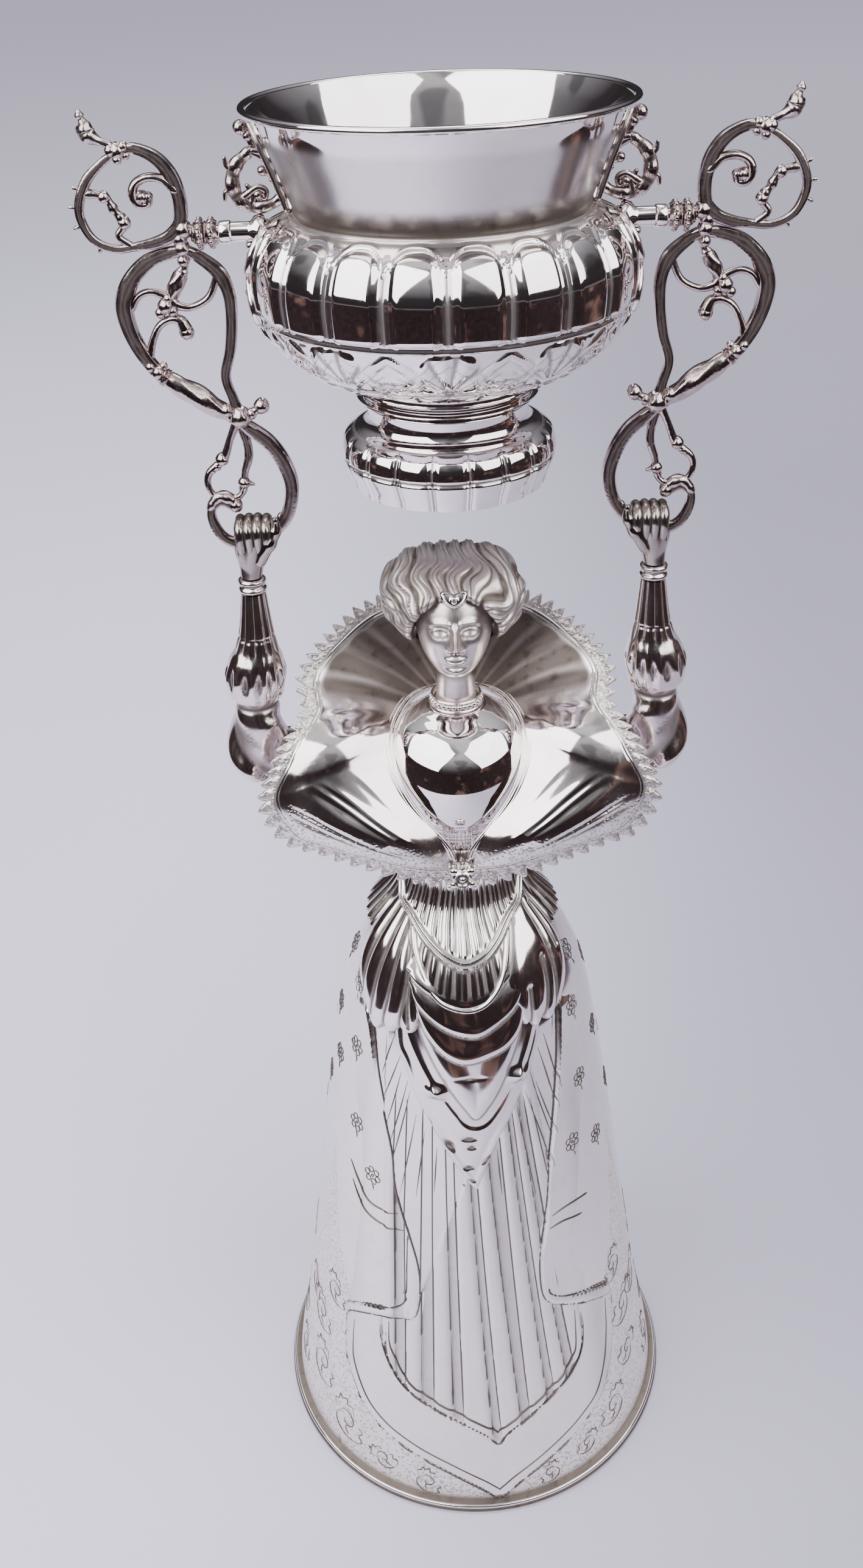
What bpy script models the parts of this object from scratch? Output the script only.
"""Silver wager cup: a lady whose skirt is the large cup, holding a small bowl that swivels above her head.

The model stands on its hem with the axis of the skirt on Z, and the lady faces -Y. Sizes below are in
millimetres; meshes are written in metres.
"""

import math

import bmesh
import bpy
from mathutils import Matrix, Vector

MM = 0.001

# Driving sizes of the skirt, which is the large cup
HEM_RADIUS = 54.3
BELL_HEIGHT = 171.2
BELL_TOP_RADIUS = 7.0
BELL_WALL = 1.2
HEM_WIRE_WIDTH = 2.0
HEM_WIRE_HEIGHT = 2.9
APRON_RELIEF = 1.5

# Driving sizes of the figure
TORSO_HEIGHT = 50.3
WAIST_RADIUS = 10.0
CHEST_RADIUS = 15.0
NECK_RADIUS = 4.6
HAIR_RADIUS = 14.6
COLLAR_SHEET = 0.9
CORD_RADIUS = 0.9
SLEEVE_RADIUS = 6.0
WRIST_RADIUS = 2.5

# Driving sizes of the bowl
BOWL_RADIUS = 34.2
BOWL_HEIGHT = 67.5
BOWL_WALL = 1.0
LIP_WIRE_RADIUS = 0.65
FOOT_RADIUS = 20.3
MOUNT_PLATE = 1.2

# Driving sizes of the pivots and the waist screw
PIVOT_STANDOFF = 5.9
JOURNAL_RADIUS = 1.2
JOURNAL_LENGTH = 3.3
STUD_RADIUS = 2.5
WASHER_INSET = 2.1
NUT_ACROSS_FLATS = 8.0
NUT_HEIGHT = 4.0

# Clearances
SEAT_GAP = 0.3
RUNNING_CLEARANCE = 0.1
SWING_CLEARANCE = 11.6

# Facets round a full turn
LARGE_STEPS = 28
SMALL_STEPS = 16
WELD = 0.0005

# Sizes that the drawn points below refer to
DRAWN_TORSO_HEIGHT = 50.3
DRAWN_CHEST_RADIUS = 15.0
DRAWN_BOWL_HEIGHT = 67.5
DRAWN_BOWL_RADIUS = 34.2
DRAWN_FOOT_RADIUS = 20.3
DRAWN_GRIP_DROP = 59.4


# Shared tools


def cleared_scene() -> None:
    """Removes whatever objects the file holds."""
    for old in list(bpy.data.objects):
        bpy.data.objects.remove(old, do_unlink=True)


def silver(name: str, colour: tuple, roughness: float) -> bpy.types.Material:
    """A metal finish with its own colour and polish."""
    finish = bpy.data.materials.new(name)
    finish.use_nodes = True
    shader = finish.node_tree.nodes["Principled BSDF"]
    shader.inputs["Base Color"].default_value = (*colour, 1.0)
    shader.inputs["Metallic"].default_value = 1.0
    shader.inputs["Roughness"].default_value = roughness
    finish.diffuse_color = (*colour, 1.0)
    return finish


FINISHES = {
    "polished": ((0.93, 0.92, 0.91), 0.12),
    "chased": ((0.88, 0.86, 0.85), 0.22),
    "cast": ((0.72, 0.68, 0.66), 0.30),
}


def placed(name: str, bm: bmesh.types.BMesh, finish: str, parent=None) -> bpy.types.Object:
    """Writes a mesh in metres, shades it and puts it in the scene with its own material."""
    bmesh.ops.remove_doubles(bm, verts=bm.verts, dist=WELD)
    bmesh.ops.recalc_face_normals(bm, faces=bm.faces)
    bmesh.ops.scale(bm, vec=(MM, MM, MM), verts=bm.verts)
    mesh = bpy.data.meshes.new(name)
    bm.to_mesh(mesh)
    bm.free()
    mesh.shade_smooth()
    mesh.set_sharp_from_angle(angle=math.radians(40))
    piece = bpy.data.objects.new(name, mesh)
    mesh.materials.append(silver(name + "_silver", *FINISHES[finish]))
    bpy.context.scene.collection.objects.link(piece)
    piece.parent = parent
    return piece


def guide(name: str, bm: bmesh.types.BMesh, parent=None) -> bpy.types.Object:
    """A shape that only cuts or joins other shapes."""
    piece = placed(name, bm, "cast", parent)
    piece.hide_render = True
    piece.display_type = "WIRE"
    return piece


def combine(piece: bpy.types.Object, others: list, operation: str) -> bpy.types.Object:
    """Joins or cuts a piece with other shapes, one after the other."""
    for other in others:
        step = piece.modifiers.new(f"{operation.title()} {other.name}", "BOOLEAN")
        step.operation = operation
        step.solver = "EXACT"
        step.object = other
    return piece


def turned(profile: list, steps: int, along_x: bool = False) -> bmesh.types.BMesh:
    """Spins a closed outline of (radius, height) points round Z, or round X with its heights along X."""
    bm = bmesh.new()
    corners = [bm.verts.new((radius, 0.0, height)) for radius, height in profile]
    edges = []
    for first, second in zip(corners, corners[1:] + corners[:1]):
        if first.co.x > WELD or second.co.x > WELD:
            edges.append(bm.edges.new((first, second)))
    bmesh.ops.spin(
        bm, geom=corners + edges, cent=(0, 0, 0), axis=(0, 0, 1), angle=math.tau, steps=steps, use_merge=True
    )
    if along_x:
        bmesh.ops.rotate(bm, verts=bm.verts, matrix=Matrix.Rotation(math.radians(90), 3, "Y"))
    return bm


def lofted(rings: list) -> bmesh.types.BMesh:
    """A closed skin over rings of points, flat at both ends."""
    bm = bmesh.new()
    loops = [[bm.verts.new(point) for point in ring] for ring in rings]
    count = len(loops[0])
    for lower, upper in zip(loops, loops[1:]):
        for index in range(count):
            after = (index + 1) % count
            bm.faces.new((lower[index], lower[after], upper[after], upper[index]))
    bm.faces.new(reversed(loops[0]))
    bm.faces.new(loops[-1])
    return bm


def ellipse(centre: tuple, half_width: float, half_depth: float, count: int) -> list:
    """Points round a level ellipse, starting at +X."""
    x, y, z = centre
    turns = [math.tau * index / count for index in range(count)]
    return [(x + half_width * math.cos(turn), y + half_depth * math.sin(turn), z) for turn in turns]


def rod(points: list, radii: list, smoothness: int = 3, roundness: int = 1) -> bmesh.types.BMesh:
    """A round rod of changing thickness along a smooth curve through the points."""
    curve = bpy.data.curves.new("rod", "CURVE")
    curve.dimensions = "3D"
    curve.twist_mode = "MINIMUM"
    curve.bevel_depth = 1.0
    curve.bevel_resolution = roundness
    curve.use_fill_caps = True
    curve.resolution_u = smoothness
    spline = curve.splines.new("BEZIER")
    spline.bezier_points.add(len(points) - 1)
    for knot, point, radius in zip(spline.bezier_points, points, radii):
        knot.co = point
        knot.radius = radius
        knot.handle_left_type = "AUTO"
        knot.handle_right_type = "AUTO"
    holder = bpy.data.objects.new("rod", curve)
    bpy.context.scene.collection.objects.link(holder)
    shaped = holder.evaluated_get(bpy.context.evaluated_depsgraph_get())
    mesh = bpy.data.meshes.new_from_object(shaped)
    bm = bmesh.new()
    bm.from_mesh(mesh)
    bpy.data.objects.remove(holder, do_unlink=True)
    bpy.data.curves.remove(curve)
    bpy.data.meshes.remove(mesh)
    bmesh.ops.remove_doubles(bm, verts=bm.verts, dist=WELD)
    return bm


def ball(centre: tuple, radius: float, stretch: tuple = (1, 1, 1), fineness: int = 2) -> bmesh.types.BMesh:
    """A ball, or an egg where stretch differs along the axes."""
    bm = bmesh.new()
    bmesh.ops.create_icosphere(bm, subdivisions=fineness, radius=radius)
    bmesh.ops.scale(bm, vec=stretch, verts=bm.verts)
    bmesh.ops.translate(bm, vec=centre, verts=bm.verts)
    return bm


def grown(profile: list, distance: float) -> list:
    """An open outline of (radius, height) points moved outward, seen walking it with the solid on the left."""
    moved = []
    for index, (radius, height) in enumerate(profile):
        before = profile[max(index - 1, 0)]
        after = profile[min(index + 1, len(profile) - 1)]
        run, rise = after[0] - before[0], after[1] - before[1]
        length = math.hypot(run, rise)
        moved.append((radius + distance * rise / length, height - distance * run / length))
    return moved


def joined(name: str, shapes: list, finish: str, parent=None) -> bpy.types.Object:
    """One casting from several overlapping shapes."""
    body = placed(name, shapes[0], finish, parent)
    parts = [guide(f"{name}_part_{index}", shape, parent) for index, shape in enumerate(shapes[1:], 1)]
    return combine(body, parts, "UNION")


def mirror_pairs() -> None:
    """Makes the left-hand twin of every right-hand piece."""
    rights = [piece for piece in bpy.data.objects if piece.name.endswith("_right") and not piece.hide_render]
    for piece in sorted(rights, key=lambda found: found.name):
        graph = bpy.context.evaluated_depsgraph_get()
        mesh = bpy.data.meshes.new_from_object(piece.evaluated_get(graph))
        mesh.transform(Matrix.Diagonal((-1, 1, 1, 1)))
        mesh.flip_normals()
        twin = bpy.data.objects.new(piece.name.replace("_right", "_left"), mesh)
        finish = piece.data.materials[0].copy()
        finish.name = twin.name + "_silver"
        mesh.materials.clear()
        mesh.materials.append(finish)
        bpy.context.scene.collection.objects.link(twin)
        twin.parent = piece.parent


# Heights and places that follow from the driving sizes


def figure_z(drawn: float) -> float:
    """Height of a point of the figure drawn this far above the top of the bell."""
    return BELL_HEIGHT + drawn * TORSO_HEIGHT / DRAWN_TORSO_HEIGHT


def bowl_point(radius: float, height: float) -> tuple:
    """A point of the bowl drawn at a radius and a height over the pivots."""
    return radius * BOWL_RADIUS / DRAWN_BOWL_RADIUS, height * BOWL_HEIGHT / DRAWN_BOWL_HEIGHT


def foot_point(radius: float, height: float) -> tuple:
    """A point of the foot drawn at a radius and a height over the pivots."""
    return radius * FOOT_RADIUS / DRAWN_FOOT_RADIUS, height * BOWL_HEIGHT / DRAWN_BOWL_HEIGHT


BOWL_OUTLINE = [
    bowl_point(*point)
    for point in (
        (16.5, -26.2), (22.0, -24.8), (27.0, -22.3), (30.8, -18.8), (33.3, -14.3), (34.2, -9.0), (34.0, -4.8),
        (32.3, -1.0), (29.5, 1.8), (26.8, 3.4), (26.4, 8.0), (26.9, 12.0), (28.3, 15.6), (30.6, 18.3), (33.0, 20.0),
    )
]
FOOT_OUTLINE = [
    foot_point(*point)
    for point in (
        (15.4, -33.0), (16.6, -35.0), (19.2, -36.8), (20.3, -40.2), (19.6, -43.6), (18.5, -46.8),
    )
]
STEM_OUTLINE = [
    foot_point(*point)
    for point in (
        (17.3, -26.8), (17.6, -27.8), (16.7, -28.6), (17.2, -29.6), (16.8, -30.7), (15.6, -31.4), (15.3, -32.7),
    )
]
LIP_CENTRE = (
    BOWL_OUTLINE[-1][0] + SEAT_GAP + LIP_WIRE_RADIUS,
    BOWL_OUTLINE[-1][1] + LIP_WIRE_RADIUS / 2,
)

SWING_RADIUS = max(math.hypot(*point) for point in BOWL_OUTLINE + FOOT_OUTLINE + [LIP_CENTRE])
HAIR_TOP = 86.4
PIVOT_Z = figure_z(HAIR_TOP) + SWING_CLEARANCE + SWING_RADIUS
SOCKET_MOUTH = BOWL_RADIUS + PIVOT_STANDOFF
SOCKET_DEPTH = JOURNAL_LENGTH + SEAT_GAP
SOCKET_WALL = 1.2
SOCKET_RADIUS = JOURNAL_RADIUS + RUNNING_CLEARANCE + SOCKET_WALL
SOCKET_LENGTH = SOCKET_DEPTH + SOCKET_WALL
BRACKET_X = SOCKET_MOUTH + 3.5
WRIST_X = BRACKET_X - 2.6
ELBOW_X = WRIST_X + 2.3
GRIP_Z = figure_z(89.2)
BRACKET_STRETCH = (PIVOT_Z - GRIP_Z) / DRAWN_GRIP_DROP


def bracket_point(outward: float, up: float, forward: float = 0.0) -> tuple:
    """A point of a bracket drawn from the middle of its pivot, outward and up, in the plane of the pivots."""
    return BRACKET_X + outward, -forward, PIVOT_Z + up * BRACKET_STRETCH


def bracket_rod(path: list, radii: list, smoothness: int = 2, roundness: int = 1) -> bmesh.types.BMesh:
    """A rod of a bracket through drawn points."""
    return rod([bracket_point(*point) for point in path], radii, smoothness, roundness)


def bracket_ball(outward: float, up: float, radius: float, fineness: int = 1) -> bmesh.types.BMesh:
    """A bead of a bracket at a drawn point."""
    return ball(bracket_point(outward, up), radius, fineness=fineness)


# The skirt

HEM_SEAT_RADIUS = HEM_RADIUS - HEM_WIRE_WIDTH
BELL_SHARES = (
    # share of the way from the top's radius to the hem's, share of the height
    (1.000, 0.0), (0.985, 0.035), (0.953, 0.088), (0.908, 0.146), (0.852, 0.234), (0.790, 0.350), (0.729, 0.467),
    (0.671, 0.584), (0.620, 0.672), (0.567, 0.759), (0.531, 0.818), (0.480, 0.876), (0.441, 0.905),
    (0.387, 0.935), (0.311, 0.964), (0.225, 0.984), (0.111, 0.996), (0.000, 1.000),
)


def bell_outline(offset: float) -> list:
    """The bell's outer outline from the hem up, moved outward by the offset."""
    foot = HEM_SEAT_RADIUS - SEAT_GAP
    reach = foot - BELL_TOP_RADIUS
    base = [
        (BELL_TOP_RADIUS + share * reach, SEAT_GAP + rise * (BELL_HEIGHT - SEAT_GAP)) for share, rise in BELL_SHARES
    ]
    return grown(base, offset) if offset else base


def bell_radius(height: float) -> float:
    """Outer radius of the bell at a height."""
    outline = bell_outline(0.0)
    for (low_radius, low), (high_radius, high) in zip(outline, outline[1:]):
        if low <= height <= high:
            return low_radius + (high_radius - low_radius) * (height - low) / (high - low)
    return BELL_TOP_RADIUS


def apron_height(turn: float) -> float:
    """How far the apron stands off the bell's height share at an angle from the front, as its lower edge."""
    return 0.60 + 0.33 * min(abs(turn) / math.radians(52), 1.0) ** 1.2


def raise_apron(bm: bmesh.types.BMesh) -> None:
    """Chases the apron out of the bell: the skin inside its pointed edge moves outward, and its back with it."""
    for vert in bm.verts:
        radius = math.hypot(vert.co.x, vert.co.y)
        if radius < BELL_TOP_RADIUS:
            continue
        turn = math.atan2(vert.co.x, -vert.co.y)
        share = vert.co.z / BELL_HEIGHT
        inside = apron_height(turn) < share < 0.915 and abs(turn) < math.radians(50)
        if inside:
            factor = (radius + APRON_RELIEF) / radius
            vert.co.x *= factor
            vert.co.y *= factor


def build_skirt() -> None:
    """The bell, its hem wire and the screw that holds the figure on it."""
    outer = bell_outline(0.0)
    inner = bell_outline(-BELL_WALL)
    stud_hole = STUD_RADIUS + SEAT_GAP
    crown = [(stud_hole, BELL_HEIGHT), (stud_hole, BELL_HEIGHT - BELL_WALL)]
    inner_kept = inner[:1] + inner[3:-4:3] + inner[-4:]
    inner_kept[0] = (inner[0][0], SEAT_GAP)
    bell = turned(outer + crown + inner_kept[::-1], LARGE_STEPS)
    raise_apron(bell)
    placed("skirt_bell", bell, "chased")

    seat, edge, top = HEM_SEAT_RADIUS, HEM_RADIUS, HEM_WIRE_HEIGHT
    bead = (edge - seat) * 0.35
    wire = [(seat, 0), (edge - bead, 0), (edge, bead), (edge, top - bead), (edge - bead, top), (seat, top - 0.3)]
    placed("hem_wire", turned(wire, LARGE_STEPS), "polished")

    under = BELL_HEIGHT - BELL_WALL - SEAT_GAP
    washer_height = 1.2
    hole = STUD_RADIUS + SEAT_GAP
    washer_radius = BELL_TOP_RADIUS - WASHER_INSET
    rim = [(washer_radius, under), (washer_radius, under - washer_height)]
    placed("waist_washer", turned([(hole, under), (hole, under - washer_height)] + rim[::-1], SMALL_STEPS), "cast")

    nut_top = under - washer_height - SEAT_GAP
    corner = NUT_ACROSS_FLATS / math.sqrt(3)
    nut = placed(
        "waist_nut",
        lofted([ellipse((0, 0, nut_top - NUT_HEIGHT), corner, corner, 6), ellipse((0, 0, nut_top), corner, corner, 6)]),
        "cast",
    )
    bore_reach = 1.0
    bore = [
        ellipse((0, 0, nut_top - NUT_HEIGHT - bore_reach), hole, hole, SMALL_STEPS),
        ellipse((0, 0, nut_top + bore_reach), hole, hole, SMALL_STEPS),
    ]
    combine(nut, [guide("nut_bore", lofted(bore))], "DIFFERENCE")

    stud_end = nut_top - NUT_HEIGHT - 1.5
    stud_top = BELL_HEIGHT + STUD_SEAT_DEPTH - SEAT_GAP
    chamfer = 0.4
    stud = [
        (0, stud_end), (STUD_RADIUS - chamfer, stud_end), (STUD_RADIUS, stud_end + chamfer),
        (STUD_RADIUS, stud_top - chamfer), (STUD_RADIUS - chamfer, stud_top), (0, stud_top),
    ]
    placed("waist_stud", turned(stud, SMALL_STEPS), "cast")


# The figure

STUD_SEAT_DEPTH = 8.3
TORSO_SECTIONS = (
    # drawn height, share of the chest's radius across and through, middle towards the back
    (20.8, 0.80, 0.74, -1.8), (28.8, 0.93, 0.92, -2.3), (36.8, 1.00, 0.97, -2.5), (42.8, 0.98, 0.90, -2.0),
    (47.0, 0.84, 0.72, -1.0), (49.4, 0.58, 0.52, -0.3), (50.3, 0.43, 0.42, 0.0),
)
TORSO_POINTS = 24


def torso_shape(offset: float) -> bmesh.types.BMesh:
    """Waist, chest and shoulders as one form, grown by the offset."""
    waist = WAIST_RADIUS + offset
    rings = [
        ellipse((0, 0, figure_z(0) + SEAT_GAP - offset), waist, waist * 0.95, TORSO_POINTS),
        ellipse((0, -0.6, figure_z(11.0)), waist, waist * 0.92, TORSO_POINTS),
    ]
    for drawn, across, through, middle in TORSO_SECTIONS:
        lift = offset if drawn == TORSO_SECTIONS[-1][0] else 0.0
        centre = (0, middle, figure_z(drawn) + lift)
        rings.append(ellipse(centre, across * CHEST_RADIUS + offset, through * CHEST_RADIUS + offset, TORSO_POINTS))
    return lofted(rings)


def build_torso() -> None:
    """The cast torso, bored from below for the stud, with the gathered ruffle round its waist."""
    torso = placed("torso", torso_shape(0.0), "polished")
    bore_radius = STUD_RADIUS + SEAT_GAP
    bore = [
        ellipse((0, 0, BELL_HEIGHT - SEAT_GAP), bore_radius, bore_radius, SMALL_STEPS),
        ellipse((0, 0, BELL_HEIGHT + STUD_SEAT_DEPTH), bore_radius, bore_radius, SMALL_STEPS),
    ]
    combine(torso, [guide("torso_bore", lofted(bore))], "DIFFERENCE")

    sheet = 1.5
    edge_z = figure_z(-5.2)
    edge_radius = bell_radius(edge_z) + sheet + SEAT_GAP
    top_z = figure_z(16.5)
    outline = [
        (WAIST_RADIUS - 2, top_z), (WAIST_RADIUS + 3.4, top_z), (WAIST_RADIUS + 4.2, figure_z(12.0)),
        (WAIST_RADIUS + 6.0, figure_z(6.0)), (edge_radius - 2.6, figure_z(0.6)), (edge_radius, edge_z),
        (edge_radius - 1.8, edge_z - 1.1), (WAIST_RADIUS - 2, figure_z(-1.0)),
    ]
    bm = turned(outline, LARGE_STEPS)
    shape_ruffle(bm, edge_z)
    ruffle = placed("waist_ruffle", bm, "chased")
    around = bell_outline(SEAT_GAP)
    bell_cutter = guide("bell_clearance", turned([(0, 0)] + around + [(0, BELL_HEIGHT + SEAT_GAP)], LARGE_STEPS))
    combine(ruffle, [bell_cutter, TORSO_CLEARANCE], "DIFFERENCE")


def shape_ruffle(bm: bmesh.types.BMesh, edge_z: float) -> None:
    """Pleats the ruffle and draws it down to a rounded tongue in front."""
    pleat, droop = 0.45, 5.0
    for vert in bm.verts:
        radius = math.hypot(vert.co.x, vert.co.y)
        if radius < WAIST_RADIUS:
            continue
        turn = math.atan2(vert.co.x, -vert.co.y)
        step = round(turn * LARGE_STEPS / math.tau)
        low = min(max((figure_z(8.0) - vert.co.z) / (figure_z(8.0) - edge_z), 0.0), 1.0)
        front = max(math.cos(turn), 0.0) ** 3
        drop = droop * front * low ** 2
        vert.co.z -= drop
        further = pleat * (-1) ** step + 0.72 * drop
        vert.co.x *= (radius + further) / radius
        vert.co.y *= (radius + further) / radius


def hair_shape(offset: float) -> bmesh.types.BMesh:
    """The dressed hair as one leaning egg, grown by the offset."""
    centre = (0, 0.8, figure_z(74.6))
    reach = (HAIR_RADIUS + offset, HAIR_RADIUS * 0.84 + offset, HAIR_TOP - 74.6 + offset)
    bm = ball(centre, 1.0, reach, 3)
    bmesh.ops.rotate(bm, verts=bm.verts, cent=centre, matrix=Matrix.Rotation(0.15, 3, "X"))
    return bm


def build_head() -> None:
    """Neck, face and dressed hair in one casting, with a bead band and a heart jewel."""
    neck = [
        ellipse((0, 0, figure_z(50.3) + SEAT_GAP), NECK_RADIUS, NECK_RADIUS, 16),
        ellipse((0, -0.6, figure_z(58.0)), NECK_RADIUS * 0.9, NECK_RADIUS * 0.9, 16),
        ellipse((0, -1.5, figure_z(68.0)), NECK_RADIUS, NECK_RADIUS, 16),
    ]
    face = ball((0, -4.2, figure_z(71.4)), 1.0, (7.4, 8.6, 9.4), 3)
    joined("head", [hair_shape(0.0), face, lofted(neck)], "cast")

    band = 0.75
    seat = figure_z(50.3) + SEAT_GAP + band
    reach = NECK_RADIUS + SEAT_GAP + band
    beads = 6
    ring = [
        (reach + band * math.cos(math.tau * index / beads), seat + band * math.sin(math.tau * index / beads))
        for index in range(beads)
    ]
    placed("necklace", turned(ring, SMALL_STEPS), "chased")

    jewel_z = figure_z(80.2)
    jewel = placed("hair_jewel", ball((0, -11.3, jewel_z), 1.0, (2.3, 1.6, 2.1)), "polished")
    combine(jewel, [guide("hair_clearance", hair_shape(SEAT_GAP))], "DIFFERENCE")


NECKLINE = (
    # inner edge of the collar from the front of the waist to the nape: across, towards the back, drawn height
    (1.2, -17.4, 20.5), (2.6, -17.2, 24.0), (6.2, -16.2, 28.8), (9.8, -14.4, 33.3), (12.6, -11.2, 38.0),
    (13.8, -7.2, 42.2), (13.2, -3.0, 45.4), (11.6, 1.0, 47.2), (9.6, 4.4, 48.4), (7.0, 6.6, 49.2),
    (4.0, 8.2, 49.4), (1.2, 8.8, 49.5),
)
COLLAR_EDGE = (
    # outer edge of the collar at the same stations
    (0.8, -21.6, 17.6), (10.0, -22.4, 18.0), (20.0, -21.0, 20.0), (31.0, -17.6, 23.6), (40.2, -13.6, 27.4),
    (43.2, -11.4, 36.6), (37.8, -9.6, 44.6), (33.0, -3.4, 50.4), (33.4, 3.0, 56.4), (28.0, 8.0, 62.4),
    (17.6, 12.8, 68.8), (0.8, 15.6, 71.6),
)
COLLAR_TEETH = 13
COLLAR_ROWS = 3


def along(stations: tuple, share: float) -> Vector:
    """A point on the smooth curve through evenly numbered stations."""
    place = share * (len(stations) - 1)
    first = min(int(place), len(stations) - 2)
    rest = place - first
    ends = [Vector(stations[min(max(first + step, 0), len(stations) - 1)]) for step in (-1, 0, 1, 2)]
    before, start, end, after = ends
    slope_start, slope_end = (end - before) / 2, (after - start) / 2
    return (
        start * (2 * rest ** 3 - 3 * rest ** 2 + 1)
        + slope_start * (rest ** 3 - 2 * rest ** 2 + rest)
        + end * (3 * rest ** 2 - 2 * rest ** 3)
        + slope_end * (rest ** 3 - rest ** 2)
    )


def neckline_point(share: float) -> Vector:
    """A point of the neckline, which keeps to the chest whatever its radius."""
    point = along(NECKLINE, share)
    fit = CHEST_RADIUS / DRAWN_CHEST_RADIUS
    return Vector((point.x * fit, point.y * fit, point.z))


def collar_sheet() -> bmesh.types.BMesh:
    """Half of the collar: a flared sheet with a toothed edge, arched between the neckline and the edge."""
    arch, tooth = 2.2, 1.6
    columns = COLLAR_TEETH * 2
    bm = bmesh.new()
    grid = []
    for column in range(columns + 1):
        share = column / columns
        inner, outer = neckline_point(share), along(COLLAR_EDGE, share)
        reach = (outer - inner).normalized()
        outer = outer + reach * tooth * (0.5 if column % 2 else -0.5)
        line = []
        for row in range(COLLAR_ROWS + 1):
            step = row / COLLAR_ROWS
            point = inner.lerp(outer, step)
            lift = arch * math.sin(math.pi * step) * min(4 * share, 1.0)
            line.append(bm.verts.new((point.x, point.y, figure_z(point.z + lift))))
        grid.append(line)
    for left, right in zip(grid, grid[1:]):
        for row in range(COLLAR_ROWS):
            bm.faces.new((left[row], right[row], right[row + 1], left[row + 1]))
    return bm


def build_collar() -> None:
    """Both halves of the collar, the cords along the neckline and the brooch where they meet."""
    knots = 10
    cord_path = []
    for index in range(knots + 1):
        point = neckline_point(index / knots)
        cord_path.append((point.x, point.y, figure_z(point.z)))
    radii = [CORD_RADIUS] * len(cord_path)
    cord = placed("neckline_cord_right", rod(cord_path, radii, 2), "polished")
    combine(cord, [TORSO_CLEARANCE], "DIFFERENCE")
    ends = []
    for tip, neighbour in ((cord_path[0], cord_path[1]), (cord_path[-1], cord_path[-2])):
        outward = (Vector(tip) - Vector(neighbour)).normalized()
        ends.append(tuple(Vector(tip) + outward * SEAT_GAP))
    roomy_path = ends[:1] + cord_path[1:-1] + ends[1:]
    roomy = [CORD_RADIUS + 1.5 * SEAT_GAP] * len(cord_path)
    cord_space = guide("cord_space", rod(roomy_path, roomy, 2))
    collar = placed("collar_right", collar_sheet(), "chased")
    skin = collar.modifiers.new("Sheet", "SOLIDIFY")
    skin.thickness = COLLAR_SHEET * MM
    skin.offset = 0.0
    combine(collar, [TORSO_CLEARANCE, cord_space, SLEEVE_CLEARANCE], "DIFFERENCE")

    brooch_radius, brooch_depth = 2.3, 1.5
    back = -COLLAR_EDGE[0][1] + COLLAR_SHEET / 2 + SEAT_GAP
    face = [
        (0, back), (brooch_radius, back), (brooch_radius, back + 0.7), (brooch_radius * 0.7, back + brooch_depth),
        (brooch_radius * 0.45, back + 0.9), (brooch_radius * 0.3, back + brooch_depth + 0.5), (0, back + brooch_depth + 0.7),
    ]
    bm = turned(face, 16)
    bmesh.ops.rotate(bm, verts=bm.verts, matrix=Matrix.Rotation(math.radians(90), 3, "X"))
    bmesh.ops.translate(bm, vec=(0, 0, figure_z(19.6)), verts=bm.verts)
    placed("brooch", bm, "chased")


# The arms

SLEEVE_LENGTHS = (
    # drawn height, share of the sleeve's radius, inward from the elbow's line
    (33.6, 0.40, -0.6), (34.8, 0.74, -0.5), (38.0, 0.97, -0.2), (43.0, 1.00, 0.0), (48.0, 0.92, 0.2), (52.0, 0.80, 0.5),
    (55.0, 0.96, 0.7), (59.0, 1.04, 0.9), (62.6, 0.96, 1.2), (65.8, 0.76, 1.7), (70.0, 0.58, 2.0), (78.0, 0.42, 2.3),
)


def lower_sleeve_shape(offset: float) -> bmesh.types.BMesh:
    """Elbow, puff and cuff, standing upright, grown by the offset."""
    rings = []
    for drawn, share, inward in SLEEVE_LENGTHS:
        radius = max(share * SLEEVE_RADIUS, WRIST_RADIUS if drawn > 60 else 0.0) + offset
        lift = -offset if drawn == SLEEVE_LENGTHS[0][0] else 0.0
        rings.append(ellipse((ELBOW_X - inward, 0, figure_z(drawn) + lift), radius, radius, 12))
    return lofted(rings)


def upper_sleeve_shape(offset: float) -> bmesh.types.BMesh:
    """The sleeve from the shoulder out to the elbow, grown by the offset."""
    path = [
        (9.0, 1.5, figure_z(41.0)), (18.0, 3.0, figure_z(38.6)), (ELBOW_X - 13, 2.6, figure_z(37.4)),
        (ELBOW_X - 2, 0.4, figure_z(39.4)),
    ]
    shares = (0.90, 1.0, 1.0, 0.80)
    return rod(path, [share * SLEEVE_RADIUS + offset for share in shares], 3, 2)


def build_arms() -> None:
    """Sleeves, wristbands and the hands that grip the brackets."""
    placed("lower_sleeve_right", lower_sleeve_shape(0.0), "cast")
    lower_space = guide("lower_sleeve_space", lower_sleeve_shape(SEAT_GAP))
    upper = placed("upper_sleeve_right", upper_sleeve_shape(0.0), "cast")
    combine(upper, [TORSO_CLEARANCE, lower_space], "DIFFERENCE")

    band_low = figure_z(SLEEVE_LENGTHS[-1][0]) + SEAT_GAP
    band_high = band_low + 3.0
    bead = WRIST_RADIUS + 0.45
    band = [
        (0, band_low), (WRIST_RADIUS, band_low), (bead, band_low + 0.6), (WRIST_RADIUS, band_low + 1.3),
        (WRIST_RADIUS, band_low + 1.7), (bead, band_low + 2.4), (WRIST_RADIUS, band_high), (0, band_high),
    ]
    bm = turned(band, 12)
    bmesh.ops.translate(bm, vec=(WRIST_X, 0, 0), verts=bm.verts)
    placed("wristband_right", bm, "cast")
    build_hand(band_high + SEAT_GAP)


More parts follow.
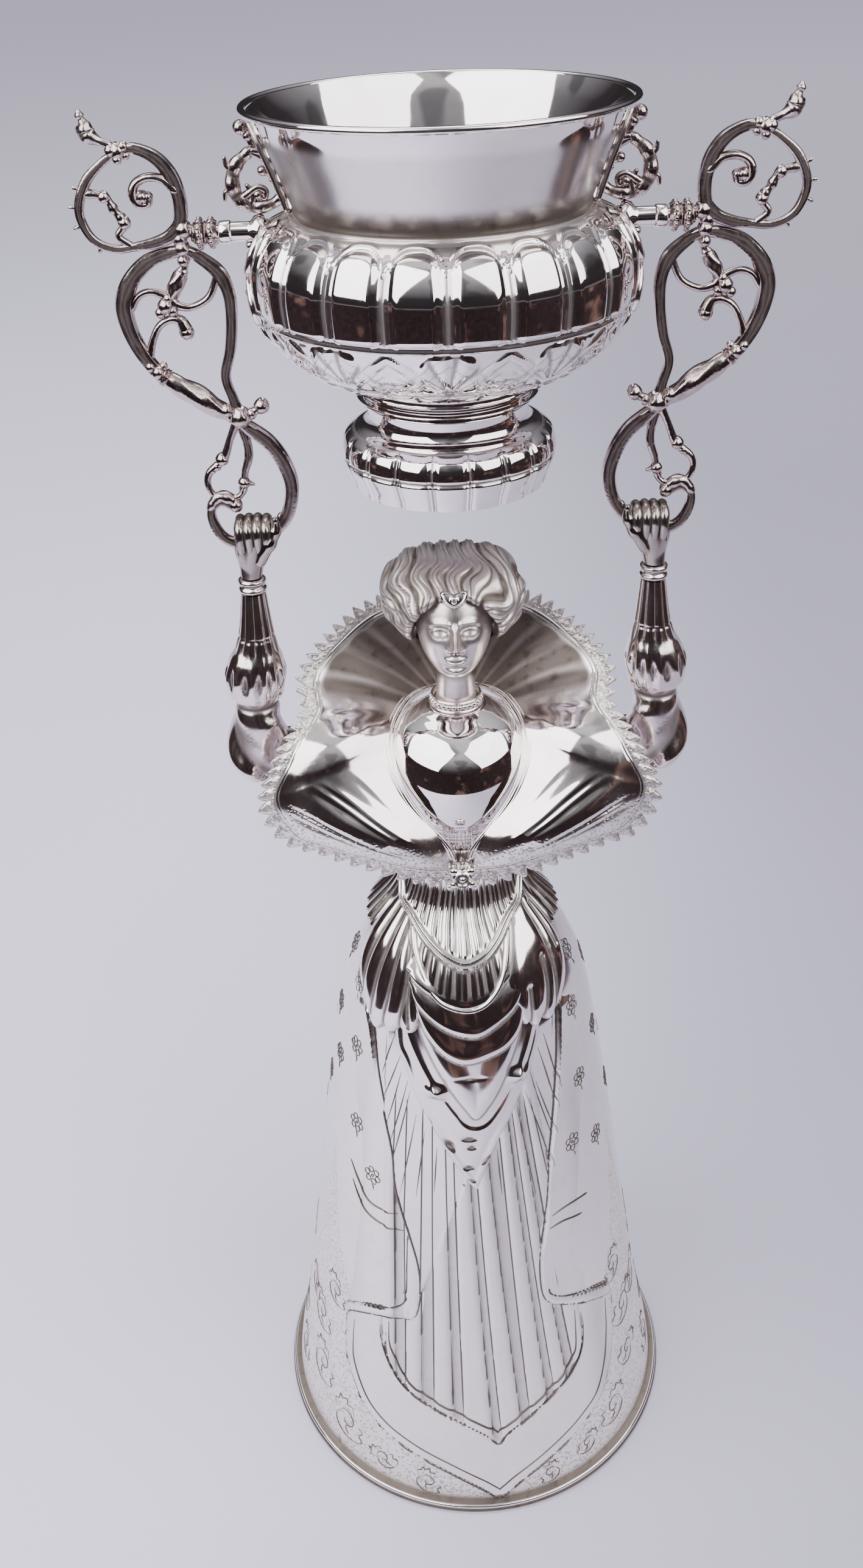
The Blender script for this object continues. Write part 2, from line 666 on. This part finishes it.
def build_hand(wrist_z: float) -> None:
    """A fist round the lower curve of the bracket, with its knuckles on top and its thumb on the inner side."""
    palm = [
        (WRIST_X, wrist_z, 2.2, 2.2), (WRIST_X - 0.3, wrist_z + 2.6, 2.7, 2.6), (WRIST_X - 0.9, GRIP_Z - 1.9, 4.0, 3.9),
        (WRIST_X - 1.6, GRIP_Z + 0.9, 4.4, 4.1), (WRIST_X - 1.7, GRIP_Z + 4.2, 3.6, 2.7),
    ]
    rings = [ellipse((x, 0, z), across, through, 12) for x, z, across, through in palm]
    shapes = [lofted(rings)]
    for finger in range(4):
        x = WRIST_X + 0.9 - 1.75 * finger
        curl = [(x, -2.9, GRIP_Z + 0.6), (x, -2.7, GRIP_Z + 3.4), (x, -0.6, GRIP_Z + 4.3), (x, 1.8, GRIP_Z + 3.2)]
        shapes.append(rod(curl, [0.95, 1.0, 0.95, 0.9], 1))
    thumb = [
        (WRIST_X - 3.6, -2.9, GRIP_Z - 0.4), (WRIST_X - 5.9, -3.0, GRIP_Z + 2.6), (WRIST_X - 6.2, -2.9, GRIP_Z + 6.0),
    ]
    shapes.append(rod(thumb, [1.3, 1.1, 0.85], 2))
    fist = joined("hand_right", shapes, "cast")
    combine(fist, [LOWER_BAND_CLEARANCE], "DIFFERENCE")


# The brackets

LOWER_BAND = (
    # outward from the pivot and up, from the knot down and round to the curled end
    (-3.0, -37.4), (-5.6, -37.2), (-9.2, -39.4), (-11.4, -43.2), (-12.5, -48.4), (-10.9, -54.3), (-6.8, -58.4),
    (-1.8, -60.0), (1.8, -58.6), (3.6, -55.5), (3.8, -52.4), (1.8, -50.8), (-0.6, -51.6),
)
LOWER_BAND_RADII = (1.2, 1.5, 1.6, 1.6, 1.55, 1.45, 1.3, 1.2, 1.15, 1.1, 1.0, 1.0, 1.2)


def lower_band(offset: float) -> bmesh.types.BMesh:
    """The thick curve of the lower scroll, grown by the offset."""
    return bracket_rod(LOWER_BAND, [radius + offset for radius in LOWER_BAND_RADII])


def loop_bands(offset: float) -> list:
    """The inner and outer bands, the leaf and the ball of the pear-shaped loop, grown by the offset."""
    inner = [(3.4, -2.4), (0.2, -4.2), (-2.9, -7.0), (-4.3, -10.9), (-4.2, -15.9), (-3.4, -20.9), (-2.0, -25.8),
             (-2.9, -30.0), (-3.8, -33.0)]
    outer = [(2.4, -2.9), (5.6, -3.2), (9.6, -4.6), (13.0, -7.6), (15.0, -11.6), (14.8, -15.9), (13.3, -20.3),
             (11.2, -23.8), (8.8, -26.2)]
    leaf = [(10.4, -24.8), (7.4, -27.0), (3.2, -29.8), (-0.2, -32.4), (-3.6, -33.6)]
    return [
        bracket_rod(outer, [radius + offset for radius in (1.0, 1.2, 1.5, 1.7, 1.7, 1.6, 1.5, 1.4, 1.4)]),
        bracket_rod(inner, [radius + offset for radius in (1.0, 1.2, 1.4, 1.3, 1.2, 1.2, 1.1, 1.1, 1.2)]),
        bracket_rod(leaf, [radius + offset for radius in (1.7, 1.5, 2.2, 1.8, 1.3)]),
        bracket_ball(-3.8, -33.6, 2.1 + offset, 2),
    ]


def build_brackets() -> None:
    """A bracket: lower scroll in the hand, loop, ring scroll with its finial, and the pivot's socket."""
    loop_space = [guide(f"loop_space_{index}", bm) for index, bm in enumerate(loop_bands(SEAT_GAP))]

    tendril = [(-1.2, -36.9), (-1.1, -39.3), (0.4, -42.1), (3.4, -44.9), (3.8, -47.8), (1.8, -50.4), (-1.8, -50.0),
               (-3.3, -47.2), (-4.8, -44.6), (-4.5, -39.4), (-3.2, -36.9)]
    radii = [0.9, 0.8, 0.9, 0.75, 0.7, 0.7, 0.7, 0.8, 0.8, 0.8, 0.9]
    lower = joined(
        "lower_scroll_right",
        [
            lower_band(0.0), bracket_rod(tendril, radii, 2, 0), bracket_ball(-2.9, -37.2, 1.75),
            bracket_ball(0.4, -42.1, 1.4), bracket_ball(-3.3, -47.2, 1.4), bracket_ball(-0.9, -51.5, 1.6),
        ],
        "cast",
    )
    combine(lower, loop_space[2:], "DIFFERENCE")

    round_tendril = [(-2.4, -6.4), (-1.0, -9.6), (3.0, -12.6), (6.2, -11.4), (9.6, -9.8), (13.6, -11.6)]
    second_tendril = [(11.6, -22.6), (10.4, -17.9), (7.8, -15.2), (5.2, -15.2), (4.3, -16.8)]
    spindle = [(3.2, -3.4), (3.6, -6.2), (5.4, -9.4), (6.6, -12.0)]
    knob = [(-3.8, -33.6), (-6.2, -33.0), (-8.1, -32.2)]
    joined(
        "loop_scroll_right",
        loop_bands(0.0)
        + [
            bracket_rod(round_tendril, [0.8, 0.75, 0.75, 0.9, 0.75, 0.9], 2, 0),
            bracket_rod(second_tendril, [0.9, 0.8, 0.8, 0.9, 1.3], 2, 0),
            bracket_rod(spindle, [0.8, 1.1, 1.4, 0.8], 2),
            bracket_rod(knob, [1.0, 0.9, 1.0], 1),
            bracket_ball(-8.1, -32.2, 1.6), bracket_ball(7.2, -12.3, 1.7), bracket_ball(4.4, -17.2, 1.6),
        ],
        "cast",
    )
    build_ring_scroll(loop_space[:2])
    build_socket()


def collar_bead(offset: float) -> bmesh.types.BMesh:
    """The leaf collar under the finial, grown by the offset."""
    return bracket_ball(12.3, 14.0, 1.9 + offset, 2)


def build_ring_scroll(loop_space: list) -> None:
    """The open ring above the pivot, with an inner volute, a beaded tendril and the finial on its collar."""
    thick = [(12.3, 14.0), (9.3, 14.3), (6.0, 12.8), (3.7, 10.0), (2.6, 6.0), (2.9, 2.2), (4.6, 0.0), (7.6, -1.3),
             (11.4, -1.9)]
    thin = [(12.3, 14.0), (15.3, 12.2), (18.4, 9.4), (20.3, 5.6), (20.3, 2.6), (18.6, -0.6), (15.2, -2.2), (11.0, -1.9)]
    volute = [(3.1, 7.4), (5.4, 9.1), (7.8, 9.2), (9.9, 8.4), (10.6, 6.7), (9.2, 5.4)]
    tendril = [(19.6, 7.4), (15.8, 6.6), (14.2, 4.2), (12.8, 2.0), (14.2, 0.0), (12.0, -1.9)]
    ring = joined(
        "ring_scroll_right",
        [
            bracket_rod(thick, [1.0, 1.15, 1.3, 1.4, 1.4, 1.35, 1.3, 1.15, 0.9]),
            bracket_rod(thin, [0.9, 0.9, 0.9, 0.9, 0.9, 0.85, 0.85, 0.8]),
            bracket_rod(volute, [1.0, 0.9, 0.9, 0.8, 0.8, 1.2], 2, 0),
            bracket_rod(tendril, [0.8, 0.8, 0.75, 0.8, 0.75, 0.8], 2, 0),
            collar_bead(0.0), bracket_ball(9.2, 5.2, 1.5), bracket_ball(12.9, 2.2, 1.3),
            bracket_ball(15.8, 6.6, 1.2),
        ],
        "cast",
    )
    combine(ring, loop_space + [guide("socket_space", socket_shape(SEAT_GAP))], "DIFFERENCE")

    stem = [(12.3, 14.0), (14.4, 15.6), (17.0, 16.7), (17.4, 18.3), (18.0, 20.6)]
    finial = placed("finial_right", bracket_rod(stem, [0.8, 0.8, 1.6, 1.3, 0.5]), "cast")
    combine(finial, [guide("bud_space", collar_bead(SEAT_GAP))], "DIFFERENCE")


def socket_shape(offset: float) -> bmesh.types.BMesh:
    """The beaded outside of the socket, without its bore."""
    wide, narrow, end = SOCKET_RADIUS + offset, SOCKET_RADIUS * 0.78 + offset, SOCKET_LENGTH + offset
    outside = [(0, -offset), (narrow, -offset), (wide, 0.5), (wide, 1.5), (narrow, 2.0), (wide, 2.6), (wide, 3.7),
               (narrow, 4.3), (narrow * 0.7, end), (0, end)]
    bm = turned(outside, SMALL_STEPS, True)
    bmesh.ops.translate(bm, vec=(SOCKET_MOUTH, 0, PIVOT_Z), verts=bm.verts)
    return bm


def build_socket() -> None:
    """A blind socket, open towards the bowl, in which the bowl's journal turns."""
    socket = placed("pivot_socket_right", socket_shape(0.0), "cast")
    bore_radius = JOURNAL_RADIUS + RUNNING_CLEARANCE
    bore = turned([(0, -1.0), (bore_radius, -1.0), (bore_radius, SOCKET_DEPTH), (0, SOCKET_DEPTH)], SMALL_STEPS, True)
    bmesh.ops.translate(bore, vec=(SOCKET_MOUTH, 0, PIVOT_Z), verts=bore.verts)
    combine(socket, [guide("socket_bore", bore)], "DIFFERENCE")


# The bowl, modelled round the line of its pivots


def build_bowl(swivel: bpy.types.Object) -> None:
    """The bowl's shell, lip wire, stem and foot."""
    inside = grown(BOWL_OUTLINE, -BOWL_WALL)
    bottom = BOWL_OUTLINE[0][1]
    inside[0] = (inside[0][0], bottom + BOWL_WALL)
    belly_end = 8
    inside = inside[:belly_end:2] + inside[belly_end:]
    shell = [(0, bottom)] + BOWL_OUTLINE + inside[::-1] + [(0, bottom + BOWL_WALL)]
    placed("bowl_shell", turned(shell, LARGE_STEPS), "polished", swivel)

    centre_radius, centre_z = LIP_CENTRE
    sides = 6
    wire = []
    for index in range(sides):
        turn = math.tau * index / sides
        wire.append((centre_radius + LIP_WIRE_RADIUS * math.cos(turn), centre_z + LIP_WIRE_RADIUS * math.sin(turn)))
    placed("lip_wire", turned(wire, LARGE_STEPS), "polished", swivel)

    wall = 1.2
    stem_top = bottom - SEAT_GAP
    stem = [(radius, min(height, stem_top)) for radius, height in STEM_OUTLINE]
    bore = STEM_OUTLINE[-1][0] - 2 * wall
    low = stem[-1][1]
    inner = [(bore, low), (bore, stem_top - wall)]
    placed("foot_stem", turned([(0, stem_top)] + stem + inner + [(0, stem_top - wall)], LARGE_STEPS), "polished", swivel)

    ring_top = low - SEAT_GAP
    ring = [(radius, min(height, ring_top)) for radius, height in FOOT_OUTLINE]
    back = [(radius - wall, height) for radius, height in ring[1:]][::-1]
    back[-1] = (back[-1][0] - wall, back[-1][1])
    ring_inner = [(bore, ring_top - wall), (bore, ring_top)]
    placed("foot_ring", turned(ring + back + ring_inner, LARGE_STEPS), "chased", swivel)


def bowl_clearance(swivel: bpy.types.Object) -> bpy.types.Object:
    """The room that the bowl and its side mount take from a trunnion or an ear."""
    skin = grown(BOWL_OUTLINE, MOUNT_PLATE + 2 * SEAT_GAP)
    solid = [(0, skin[0][1])] + skin + [(0, skin[-1][1])]
    return guide("bowl_space", turned(solid, LARGE_STEPS), swivel)


MOUNT_STATIONS = (
    # point of the bowl's outline, half width of the mount there
    (2, 1.0), (3, 3.2), (4, 5.4), (5, 6.6), (6, 6.8), (7, 6.0), (8, 4.8), (9, 3.6), (10, 3.2), (11, 2.8), (12, 1.6),
)


def side_mount() -> bmesh.types.BMesh:
    """A chased plate that follows the bowl's side from under the lip down over the belly."""
    columns = 4
    inner_skin = grown(BOWL_OUTLINE, SEAT_GAP)
    outer_skin = grown(BOWL_OUTLINE, SEAT_GAP + MOUNT_PLATE)
    bm = bmesh.new()
    layers = []
    for skin in (inner_skin, outer_skin):
        rows = []
        for station, half_width in MOUNT_STATIONS:
            radius, height = skin[station]
            row = []
            for column in range(columns + 1):
                turn = half_width / radius * (2 * column / columns - 1)
                row.append(bm.verts.new((radius * math.cos(turn), radius * math.sin(turn), height)))
            rows.append(row)
        layers.append(rows)
    inner, outer = layers
    for rows in layers:
        for low, high in zip(rows, rows[1:]):
            for column in range(columns):
                bm.faces.new((low[column], low[column + 1], high[column + 1], high[column]))
    for column in range(columns):
        for end in (0, -1):
            bm.faces.new((inner[end][column], inner[end][column + 1], outer[end][column + 1], outer[end][column]))
    for row in range(len(inner) - 1):
        for edge in (0, -1):
            bm.faces.new((inner[row][edge], inner[row + 1][edge], outer[row + 1][edge], outer[row][edge]))
    return bm


def build_bowl_sides(swivel: bpy.types.Object) -> None:
    """Mount, trunnion and ear scroll at the side of the bowl."""
    placed("side_mount_right", side_mount(), "chased", swivel)
    bowl_space = bowl_clearance(swivel)

    shoulder_end = SOCKET_MOUTH - SEAT_GAP
    tube_radius, shoulder_radius, shoulder_width = JOURNAL_RADIUS + 0.5, JOURNAL_RADIUS + 0.9, 1.5
    journal_end = SOCKET_MOUTH + JOURNAL_LENGTH
    start = BOWL_RADIUS * 0.86
    outline = [
        (0, start), (tube_radius, start), (tube_radius, shoulder_end - shoulder_width),
        (shoulder_radius, shoulder_end - shoulder_width), (shoulder_radius, shoulder_end),
        (JOURNAL_RADIUS, shoulder_end), (JOURNAL_RADIUS, journal_end - 0.3), (JOURNAL_RADIUS - 0.3, journal_end),
        (0, journal_end),
    ]
    trunnion = placed("trunnion_right", turned(outline, SMALL_STEPS, True), "polished", swivel)
    combine(trunnion, [bowl_space], "DIFFERENCE")

    reach = BOWL_RADIUS - DRAWN_BOWL_RADIUS
    lift = BOWL_HEIGHT / DRAWN_BOWL_HEIGHT
    curl = [(33.8, 16.4), (32.2, 13.6), (34.6, 12.0), (36.2, 9.2), (36.0, 6.6), (33.8, 4.4), (31.0, 4.0), (28.6, 5.6),
            (27.4, 6.2)]
    radii = [1.3, 0.7, 0.9, 1.2, 1.3, 1.2, 1.0, 0.9, 0.9]
    brace = [(32.6, 12.6), (30.0, 11.6), (27.6, 12.4)]
    ear = joined(
        "ear_scroll_right",
        [
            rod([(x + reach, 0, z * lift) for x, z in curl], radii, 2),
            rod([(x + reach, 0, z * lift) for x, z in brace], [0.8, 0.8, 0.8], 2),
        ],
        "cast",
        swivel,
    )
    combine(ear, [bowl_space], "DIFFERENCE")


cleared_scene()
TORSO_CLEARANCE = guide("torso_clearance", torso_shape(SEAT_GAP))
SLEEVE_CLEARANCE = guide("sleeve_space", upper_sleeve_shape(SEAT_GAP))
LOWER_BAND_CLEARANCE = guide("lower_band_space", lower_band(SEAT_GAP))
build_skirt()
build_torso()
build_head()
build_collar()
build_arms()
build_brackets()
bowl_swivel = bpy.data.objects.new("bowl_swivel", None)
bowl_swivel.location = (0, 0, PIVOT_Z * MM)
bpy.context.scene.collection.objects.link(bowl_swivel)
build_bowl(bowl_swivel)
build_bowl_sides(bowl_swivel)
mirror_pairs()
